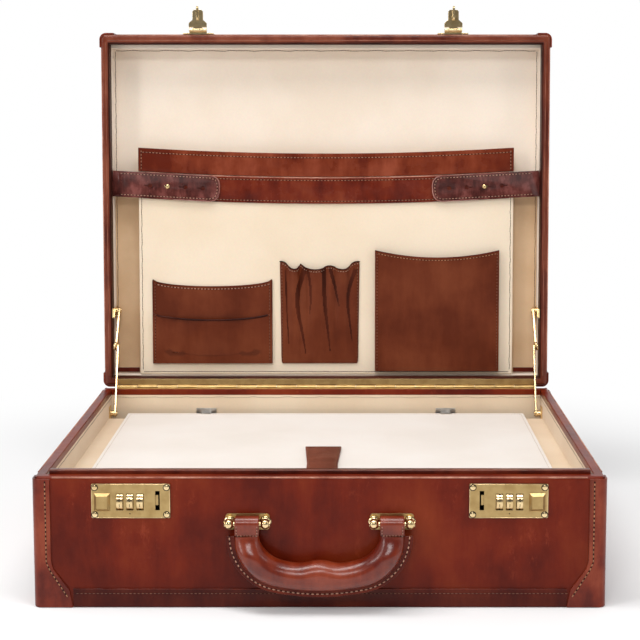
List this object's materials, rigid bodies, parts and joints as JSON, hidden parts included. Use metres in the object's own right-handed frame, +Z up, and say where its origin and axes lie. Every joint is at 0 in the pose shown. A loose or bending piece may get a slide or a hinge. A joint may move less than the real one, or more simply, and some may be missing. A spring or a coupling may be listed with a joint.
{
  "type": "briefcase",
  "caption": "Open leather attache case with a hinged lid on elbow stays, number locks, a folding handle, a lift-up divider and a lid organiser.",
  "frame": {"origin": "on the floor under the middle of the base, on the bottom leather panel", "axes": "+X to the right seen from the front, +Y to the back where the hinge is, +Z up"},
  "size_m": [0.45, 0.4252, 0.4858],
  "materials": {
    "leather_main": "glossy chestnut, mottled",
    "leather_dark": "glossy dark brown edges",
    "leather_strap": "dark burgundy brown, glossy",
    "leather_soft": "smooth pocket leather",
    "suede_cream": "cream suede lining",
    "board_white": "near-white covered board",
    "brass": "satin gold with bright edges",
    "steel_pin": "bright drawn wire",
    "wood_board": "plywood"
  },
  "bodies": {
    "base": {"base_carcass": "wood_board", "base_leather": "leather_main", "base_bottom_panel": "leather_dark", "base_edge_binding": "leather_dark", "base_corner_caps": "leather_dark", "base_rim": "leather_dark", "base_front_lip": "leather_dark", "base_wall_lining": "suede_cream", "base_floor_lining": "suede_cream", "divider_ledges": "wood_board", "divider_hinge_lugs": "brass", "lock_plates": "brass", "lock_cases": "brass", "dial_axles": "steel_pin", "lock_springs": "steel_pin", "lock_screws": "brass", "handle_brackets": "brass", "handle_pins": "brass", "bracket_rivets": "brass", "hinge_base_leaf": "brass", "hinge_pin": "brass", "stay_base_brackets": "brass"},
    "lid": {"lid_carcass": "wood_board", "lid_leather": "leather_main", "lid_edge_binding": "leather_dark", "lid_corner_caps": "leather_dark", "lid_rim": "leather_dark", "lid_lining": "suede_cream", "hinge_lid_leaf": "brass", "hasp_plates": "brass", "hasp_pins": "brass", "hasp_rivets": "brass", "stay_lid_brackets": "brass", "strap_tabs": "leather_strap", "panel_gussets": "suede_cream"},
    "file_panel": {"file_panel": "suede_cream", "panel_band": "leather_strap", "card_pocket": "leather_soft", "pen_pocket": "leather_soft", "large_pocket": "leather_soft", "strap_middle": "leather_strap", "strap_studs": "brass"},
    "divider": {"divider": "board_white", "divider_pull_tab": "leather_soft"},
    "handle": {"handle_grip": "leather_main", "handle_core": "wood_board", "handle_loops": "leather_main"},
    "hasp_left": {"hasp_left": "brass"},
    "hasp_right": {"hasp_right": "brass"},
    "button_left": {"button_left": "brass"},
    "button_right": {"button_right": "brass"},
    "stay_arms": {"stay_arms": "brass"},
    "stay_links": {"stay_links": "brass"},
    "dial_left_1": {"dial_left_1": "brass"},
    "dial_left_2": {"dial_left_2": "brass"},
    "dial_left_3": {"dial_left_3": "brass"},
    "dial_right_1": {"dial_right_1": "brass"},
    "dial_right_2": {"dial_right_2": "brass"},
    "dial_right_3": {"dial_right_3": "brass"}
  },
  "joints": [
    {"name": "lid_hinge", "type": "hinge", "parent": "base", "child": "lid", "pos_m": [0, 0.1775, 0.1052], "axis": [1, 0, 0], "range_deg": [0, 92]},
    {"name": "handle_swing", "type": "hinge", "parent": "base", "child": "handle", "pos_m": [0, -0.1836, 0.0695], "axis": [-1, 0, 0], "range_deg": [0, 142]},
    {"name": "divider_lift", "type": "hinge", "parent": "base", "child": "divider", "pos_m": [0, 0.157, 0.081], "axis": [1, 0, 0], "range_deg": [-70, 0]},
    {"name": "file_panel_tilt", "type": "hinge", "parent": "lid", "child": "file_panel", "pos_m": [0, 0.19661, 0.11664], "axis": [-1, 0, 0], "range_deg": [-12, 0], "deforming": ["strap_tabs", "panel_gussets"]},
    {"name": "hasp_left_swing", "type": "hinge", "parent": "lid", "child": "hasp_left", "pos_m": [0, 0.18779, 0.46276], "axis": [1, 0, 0], "range_deg": [0, 90], "stiffness_Nm_per_rad": 0.004, "springref_deg": -34.38},
    {"name": "hasp_right_swing", "type": "hinge", "parent": "lid", "child": "hasp_right", "pos_m": [0, 0.18779, 0.46276], "axis": [1, 0, 0], "range_deg": [0, 90], "stiffness_Nm_per_rad": 0.004, "springref_deg": -34.38},
    {"name": "button_left_push", "type": "slide", "parent": "base", "child": "button_left", "axis": [-1, 0, 0], "range_m": [0, 0.0025], "stiffness_N_per_m": 300, "springref_m": -0.001, "deforming": ["lock_springs"]},
    {"name": "button_right_push", "type": "slide", "parent": "base", "child": "button_right", "axis": [1, 0, 0], "range_m": [0, 0.0025], "stiffness_N_per_m": 300, "springref_m": -0.001},
    {"name": "dial_left_1_turn", "type": "hinge", "parent": "base", "child": "dial_left_1", "pos_m": [-0.1402, -0.173, 0.0853], "axis": [1, 0, 0], "continuous": true},
    {"name": "dial_left_2_turn", "type": "hinge", "parent": "base", "child": "dial_left_2", "pos_m": [-0.1481, -0.173, 0.0853], "axis": [1, 0, 0], "continuous": true},
    {"name": "dial_left_3_turn", "type": "hinge", "parent": "base", "child": "dial_left_3", "pos_m": [-0.156, -0.173, 0.0853], "axis": [1, 0, 0], "continuous": true},
    {"name": "dial_right_1_turn", "type": "hinge", "parent": "base", "child": "dial_right_1", "pos_m": [0.1402, -0.173, 0.0853], "axis": [1, 0, 0], "continuous": true},
    {"name": "dial_right_2_turn", "type": "hinge", "parent": "base", "child": "dial_right_2", "pos_m": [0.1481, -0.173, 0.0853], "axis": [1, 0, 0], "continuous": true},
    {"name": "dial_right_3_turn", "type": "hinge", "parent": "base", "child": "dial_right_3", "pos_m": [0.156, -0.173, 0.0853], "axis": [1, 0, 0], "continuous": true},
    {"name": "stay_arm_turn", "type": "hinge", "parent": "base", "child": "stay_arms", "pos_m": [0, 0.1534, 0.0833], "axis": [1, 0, 0], "range_deg": [0, 105.6]},
    {"name": "stay_link_turn", "type": "hinge", "parent": "lid", "child": "stay_links", "pos_m": [0, 0.2045, 0.1792], "axis": [1, 0, 0], "range_deg": [-77.6, 0]}
  ],
  "couplings": [
    {"joint": "stay_arm_turn", "follows": "lid_hinge", "ratio": 1.1477},
    {"joint": "stay_link_turn", "follows": "lid_hinge", "ratio": -0.84292}
  ]
}
